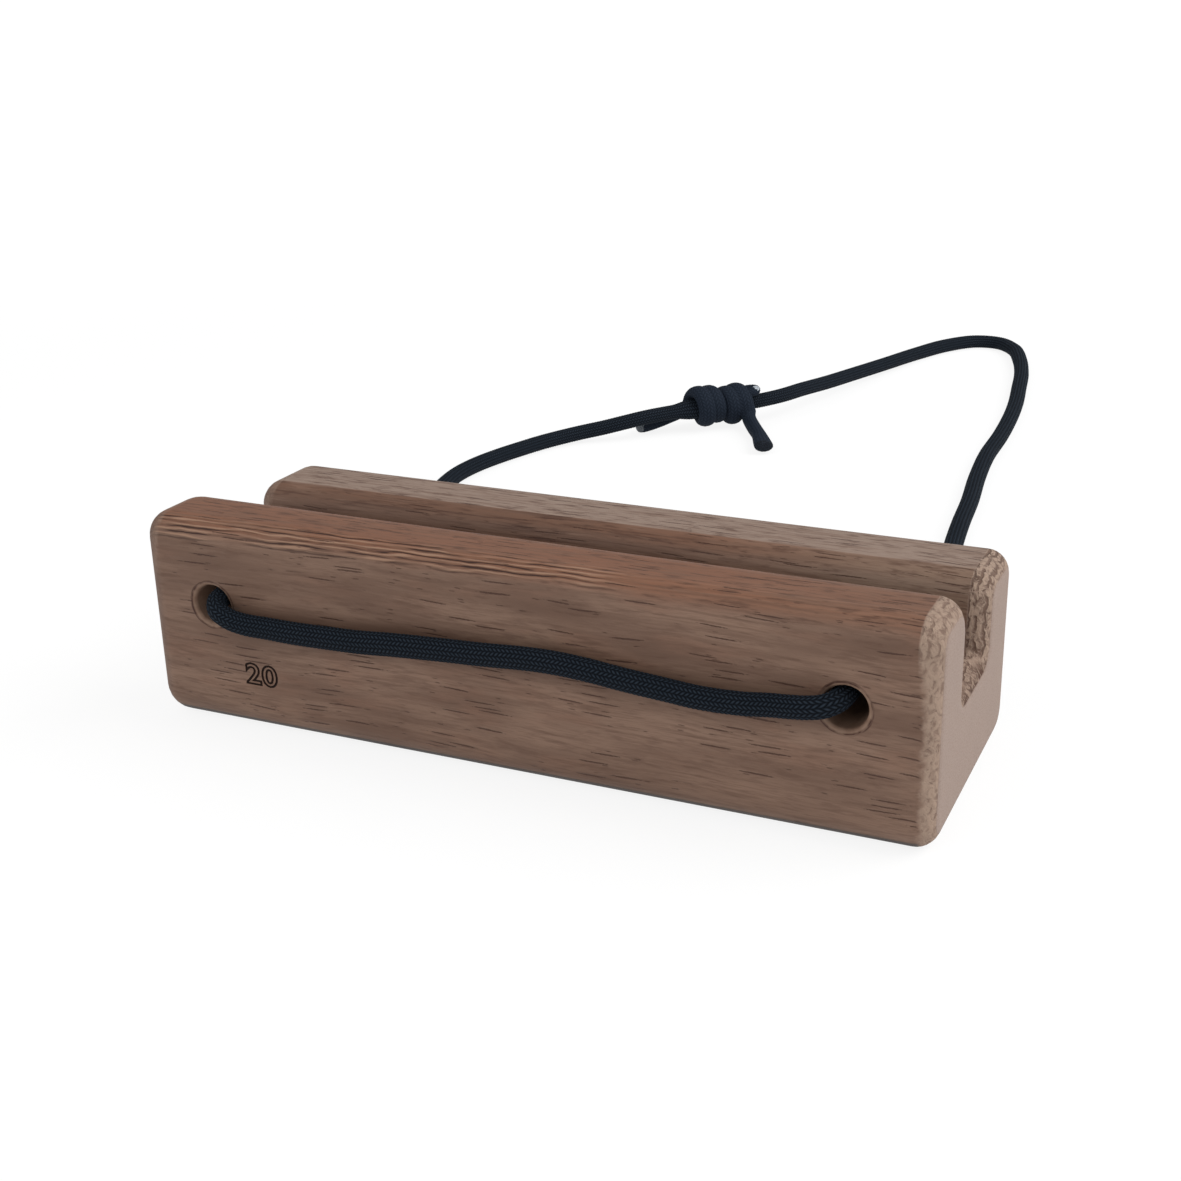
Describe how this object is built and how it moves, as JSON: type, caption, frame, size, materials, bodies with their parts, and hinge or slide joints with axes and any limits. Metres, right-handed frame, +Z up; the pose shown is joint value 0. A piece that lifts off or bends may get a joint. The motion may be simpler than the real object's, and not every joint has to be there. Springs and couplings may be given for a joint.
{
  "type": "hangboard",
  "caption": "Portable hardwood hangboard: a full-length finger slot between a deep front edge and a shallow back edge, on a knotted loop of braided cord.",
  "frame": {"origin": "middle of the base face that the block stands on", "axes": "+X along the block to its right-hand end, +Y from the front face towards the loop, +Z up"},
  "size_m": [0.177, 0.3645, 0.0435],
  "materials": {
    "wood": "oiled, fine-sanded",
    "cord": "tight braid"
  },
  "bodies": {
    "board": {"wood_block": "wood", "cord_front_strand": "cord"},
    "loop": {"cord_left_leg": "cord", "cord_right_leg": "cord", "cord_knot": "cord"}
  },
  "joints": [
    {"name": "loop_swing", "type": "hinge", "parent": "board", "child": "loop", "pos_m": [0, 0.03055, 0.0248], "axis": [1, 0, 0], "range_deg": [0, 90]}
  ]
}
